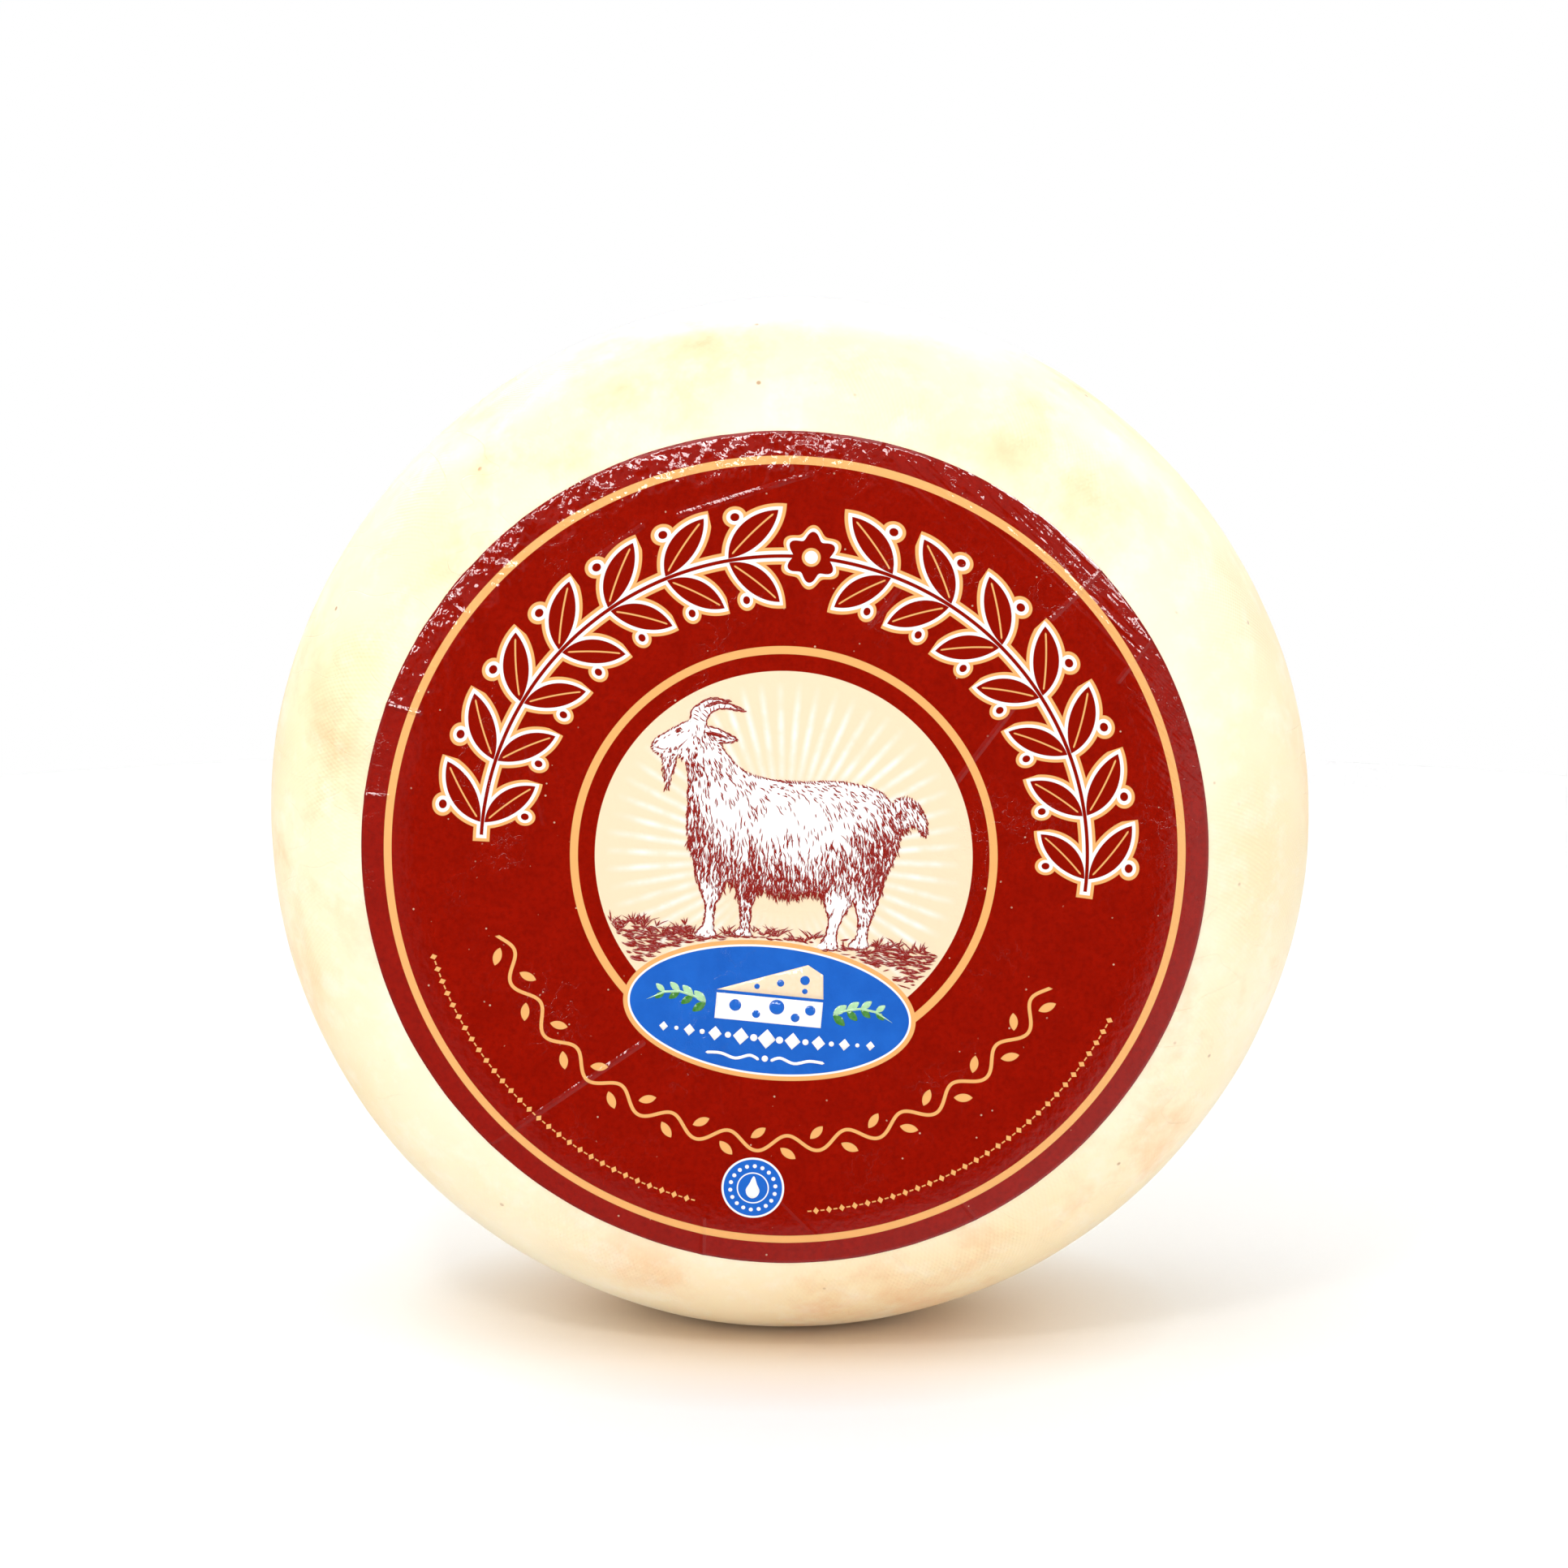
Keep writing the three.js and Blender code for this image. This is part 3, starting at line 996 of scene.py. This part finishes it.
# a piece of cheese, two sprigs, a row of diamonds, a flourish, and the seal's drop
def ovalPictures(bm, white, blue, green, pale, cream):
    ovalU, ovalV = artwork["oval"][:2]

    def shape(points, ink, layer, smooth=0, at=(ovalU, ovalV)):
        moved = [Vector((u + at[0], v + at[1])) for u, v in points]
        fillLoop(bm, smoothLoop([tuple(p) for p in moved], smooth) if smooth else moved, ink, layer)

    def disc(u, v, radius, ink, layer, at=(ovalU, ovalV)):
        shape([(u + radius * math.sin(k * math.tau / 24), v + radius * math.cos(k * math.tau / 24))
               for k in range(24)], ink, layer, 0, at)

    shape([(-13.5, 4.2), (8.6, 12.6), (12.6, 10.4), (13.2, 4.2)], cream, 0)
    shape([(-13.5, 3.4), (13.2, 3.4), (13.2, -3.2), (-13.5, -3.2)], white, 0)
    holes = [(-8.6, 0.6, 1.5), (-3.2, -1.2, 1.0), (1.8, 1.1, 1.9), (6.6, -1.2, 1.1), (10.2, 1.0, 1.3),
             (2.2, 7.3, 0.9), (8.2, 8.6, 1.2), (-3.6, 5.9, 0.7), (8.4, 5.8, 0.7)]
    for u, v, radius in holes:
        disc(u, v, radius, blue, 0.02)
    for side in (-1, 1):
        stem = [(side * (16.0 + 15 * t), 0.6 + 3.6 * math.sin(t * 2.6) - 2.6 * t)
                for t in (0, 0.22, 0.45, 0.7, 1)]
        brushStroke(bm, [Vector((u, v + ovalV)) for u, v in stem], 0.6, pale, 0.02)
        for k, (u, v) in enumerate(stem[:-1]):
            for turn in (0.75, -0.75):
                ahead = Vector((side * math.cos(turn), math.sin(turn) * 0.9))
                aside = ahead.orthogonal() * 0.26
                foot = Vector((u, v))
                size = 4.3 - 0.4 * k
                leaf = [foot, foot + ahead * size * 0.5 + aside * size, foot + ahead * size,
                        foot + ahead * size * 0.5 - aside * size]
                shape([tuple(p) for p in leaf], pale if turn > 0 else green, 0.01, 3)
    for k in range(-8, 9):  # a row that fills the place of the title, larger towards its middle
        size = 2.3 - 0.15 * abs(k)
        u, v = 3.25 * k, -7.3 + 0.012 * k * k
        if k % 2:
            disc(u, v, size * 0.42, white, 0.01)
        else:
            shape([(u - size, v), (u, v + size * 1.1), (u + size, v), (u, v - size * 1.1)], white, 0.01)
    for side in (-1, 1):
        curl = [(side * u, v)
                for u, v in ((1.4, -12.9), (3.8, -11.9), (7.4, -13.0), (11.2, -12.0), (15.0, -12.2))]
        brushStroke(bm, [p + Vector((0, ovalV)) for p in smoothLoop(curl, 5, False)], 0.75, white, 0.02)
    disc(0, -12.4, 0.8, white, 0.02)
    drop = [(0, 3.1), (1.0, 1.0), (1.75, -0.6), (1.2, -2.1),
            (0, -2.7), (-1.2, -2.1), (-1.75, -0.6), (-1.0, 1.0)]
    shape(drop, white, 0.01, 4, artwork["seal"][:2])


def finishPicture(bm):  # lays the flat drawing on the paper and gives the ink its thickness
    for v in bm.verts:
        v.co = onLabel(v.co.x, v.co.y, picture["lift"] + v.co.z * mm)
    bm.normal_update()
    bmesh.ops.solidify(bm, geom=bm.faces[:], thickness=picture["thickness"])
    tints = [("ink_white", "white", "cream"), ("ink_red", "fur", "deepRed"),
             ("ink_blue", "blue", "deepBlue"), ("ink_green", "leaf", "paleLeaf"),
             ("ink_pale_green", "paleLeaf", "leaf"), ("ink_cream", "cream", "white")]
    materials = [inkMaterial(name, inks[main], inks[tint]) for name, main, tint in tints]
    piece = finishPiece(bm, "label_picture", materials)
    return piece


def inkMaterial(name, main, tint):
    material, tree, shader = newMaterial(name)
    place = labelPlace(tree)
    patchy = ramp(tree, cloud(tree, place, 0.9, 3), 0.4, 0.8, 0, 0.18)
    feed(tree, shader.inputs["Base Color"], blend(tree, patchy, main, tint))
    finishLabel(tree, shader, place)
    return material


# stage

stage = {
    "floorRadius": 0.9,
    # painted shadow: a warm, darker floor colour close round the wheel's foot, standing in for its shade on
    # the floor
    "floor": (0.80, 0.67, 0.53, 1),
    "farFloor": (0.95, 0.95, 0.95, 1),  # the plain pale floor, past the painted shadow
    "paintedShadowFade": (0.03, 0.085),  # metres from the middle over which the painted shadow runs into the plain floor
    "overhead": 0.66,  # how bright the room is from above
    "around": 1.9,  # and from the sides
    "behind": 0.74,  # how much of that comes from behind the wheel
    "room": 0.35,  # what a gloss sees above the horizon, between the windows
    "window": 22.0,
    # windows, as azimuth, elevation and half their width in degrees; azimuth 0 is in front of the label
    "windows": [(-42, 20, 7), (-15, 42, 7), (-48, 46, 8), (14, 46, 7), (44, 26, 5), (72, 30, 9),
                (-85, 25, 9), (125, 40, 11), (-135, 35, 11), (180, 30, 10)],
    "belowLeft": 0.2,  # what a gloss sees under the horizon
    "belowRight": 0.9,
    "dim": 0.01,  # of the dark patch in front of the label, so that its gloss stays clear
    "dimElevation": -10,
    # soft boxes: where from the wheel's middle (azimuth, elevation, distance), size, and power
    "boxes": {"front_softbox": ((-24, 48, 1.3), 0.2, 2.6), "top_softbox": ((-60, 84, 1.3), 1.4, 7.6)},
}
camera = {
    "azimuth": 1.52,
    "elevation": 10.14,
    "distance": 1.0,
    "lens": 87.46,
    "aim": (-1.37 * mm, wheel["widestY"], wheel["axisZ"] + 8.41 * mm),
}


def towards(azimuth, elevation):  # a direction, in degrees; azimuth 0 is in front of the label
    azimuth, elevation = math.radians(azimuth), math.radians(elevation)
    return Vector((math.sin(azimuth) * math.cos(elevation), -math.cos(azimuth) * math.cos(elevation),
                   math.sin(elevation)))


def makeCamera():
    made = bpy.data.objects.new("camera", bpy.data.cameras.new("camera"))
    made.data.lens = camera["lens"]
    made.data.sensor_width = 36
    back = towards(camera["azimuth"], camera["elevation"])
    made.location = Vector(camera["aim"]) + back * camera["distance"]
    made.rotation_mode = "QUATERNION"
    made.rotation_quaternion = (-back).to_track_quat("-Z", "Y")
    bpy.context.scene.collection.objects.link(made)
    bpy.context.scene.camera = made


def makeFloor():
    bm = bmesh.new()
    bmesh.ops.create_circle(bm, cap_ends=True, segments=96, radius=stage["floorRadius"])
    mesh = bpy.data.meshes.new("floor")
    bm.to_mesh(mesh)
    bm.free()
    floor = bpy.data.objects.new("floor", mesh)
    floor.location.z = -0.1 * mm
    floor.visible_glossy = False
    bpy.context.scene.collection.objects.link(floor)
    material, tree, shader = newMaterial("pale_floor_painted_shadow")
    # the floor's colour holds a painted shadow: warm and darker near the middle under the wheel, the plain
    # pale floor further out
    away = vectorMaths(tree, "LENGTH", vectorMaths(tree, "MULTIPLY", ownPlace(tree), (0.8, 1, 1)))
    far = ramp(tree, away, *stage["paintedShadowFade"])
    feed(tree, shader.inputs["Base Color"], blend(tree, far, stage["floor"], stage["farFloor"]))
    shader.inputs["Roughness"].default_value = 0.9
    mesh.materials.append(material)


def makeRoom():
    world = bpy.data.worlds.new("room")
    world.use_nodes = True
    tree = world.node_tree
    bpy.context.scene.world = world
    plain = tree.nodes["Background"]
    plain.inputs["Color"].default_value = (1, 1, 1, 1)
    plain.inputs["Strength"].default_value = 1.0
    direction = addNode(tree, "ShaderNodeTexCoord").outputs["Generated"]
    parts = addNode(tree, "ShaderNodeSeparateXYZ")
    feed(tree, parts.inputs[0], direction)
    up = parts.outputs[2]
    sky = times(tree, ramp(tree, up, 0.1, 0.85, stage["around"], stage["overhead"]),
                ramp(tree, parts.outputs[1], 0.2, 0.8, 1, stage["behind"]))

    # what a gloss sees: a dim room with bright windows, and a darker patch in front of the label
    windows = stage["room"]
    for azimuth, elevation, half in stage["windows"]:
        toWindow = vectorMaths(tree, "DOT_PRODUCT", direction, towards(azimuth, elevation))
        windows = maths(tree, "ADD", windows, ramp(tree, toWindow, math.cos(math.radians(half * 1.25)),
                                                   math.cos(math.radians(half)), 0, stage["window"]))
    below = ramp(tree, parts.outputs[0], -0.5, 0.7, stage["belowLeft"], stage["belowRight"])
    isUp = ramp(tree, up, -0.01, 0.03)
    seen = timesPlus(tree, minus(tree, windows, below), isUp, below)
    toDim = vectorMaths(tree, "DOT_PRODUCT", direction, towards(0, stage["dimElevation"]))
    dimmed = ramp(tree, toDim, math.cos(math.radians(30)), math.cos(math.radians(17)), 1, stage["dim"])
    seen = times(tree, seen, dimmed)

    rays = addNode(tree, "ShaderNodeLightPath")
    level = timesPlus(tree, minus(tree, seen, sky), rays.outputs["Is Glossy Ray"], sky)
    lit = addNode(tree, "ShaderNodeBackground")
    feed(tree, lit.inputs["Strength"], level)
    mix = addNode(tree, "ShaderNodeMixShader")
    feed(tree, mix.inputs[0], rays.outputs["Is Camera Ray"])
    feed(tree, mix.inputs[1], lit.outputs[0])
    feed(tree, mix.inputs[2], plain.outputs[0])
    feed(tree, tree.nodes["World Output"].inputs["Surface"], mix.outputs[0])


def addBox(name, place, size, power):  # azimuth 0 is in front of the label
    toward = towards(place[0], place[1])
    data = bpy.data.lights.new(name, "AREA")
    data.shape = "DISK"
    data.size = size
    data.energy = power
    made = bpy.data.objects.new(name, data)
    made.location = Vector((0, 0, wheel["axisZ"])) + toward * place[2]
    made.rotation_mode = "QUATERNION"
    made.rotation_quaternion = (-toward).to_track_quat("-Z", "Y")
    bpy.context.scene.collection.objects.link(made)


makeCamera()
makeFloor()
makeRoom()
for name, (place, size, power) in stage["boxes"].items():
    addBox(name, place, size, power)
print("stage ready")

body = makeWheel()
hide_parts("cheese_wheel")
print("wheel made")
paper = makeLabel()
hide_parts("label")
print("label made")
drawing = makePicture()
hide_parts("label")
print("picture made")

bpy.context.scene.view_settings.view_transform = "Standard"
